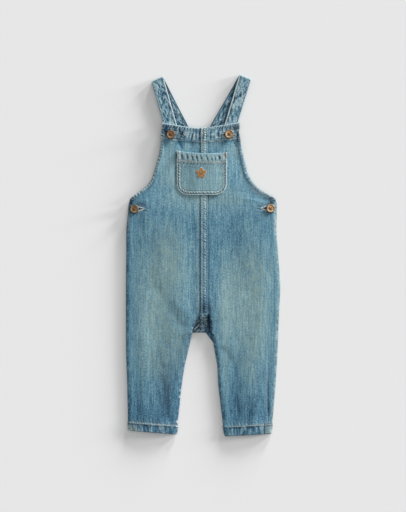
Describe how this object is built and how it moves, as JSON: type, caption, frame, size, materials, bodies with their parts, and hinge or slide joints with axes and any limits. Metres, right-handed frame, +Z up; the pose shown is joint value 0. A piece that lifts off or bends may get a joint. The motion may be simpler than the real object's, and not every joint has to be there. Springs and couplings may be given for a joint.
{
  "type": "baby dungarees",
  "caption": "Baby dungarees in washed denim, laid flat on their back, with straps turned over at the shoulder and buttoned through the bib, a bib pocket, a felled centre seam and hemmed legs.",
  "frame": {"origin": "on the surface, under the middle of the garment's outline", "axes": "+X to the right for someone who looks down at the front, +Y from the leg hems to the shoulder straps, +Z up from the surface"},
  "size_m": [0.2254, 0.5295, 0.0092],
  "materials": {
    "denim_front": "washed cotton twill, matt",
    "denim_back": "washed cotton twill, matt",
    "denim_pocket": "washed cotton twill, matt",
    "denim_strap": "washed cotton twill, matt",
    "button_light": "horn effect, satin",
    "button_dark": "horn effect, satin",
    "thread": "spun polyester sewing thread"
  },
  "bodies": {
    "root": {"front_left": "denim_front", "front_right": "denim_front", "back_left": "denim_back", "back_right": "denim_back", "pocket": "denim_pocket", "strap_left": "denim_strap", "strap_right": "denim_strap", "button_bib_left": "button_dark", "button_bib_right": "button_light", "button_side_left": "button_light", "button_side_right": "button_light"}
  },
  "joints": []
}
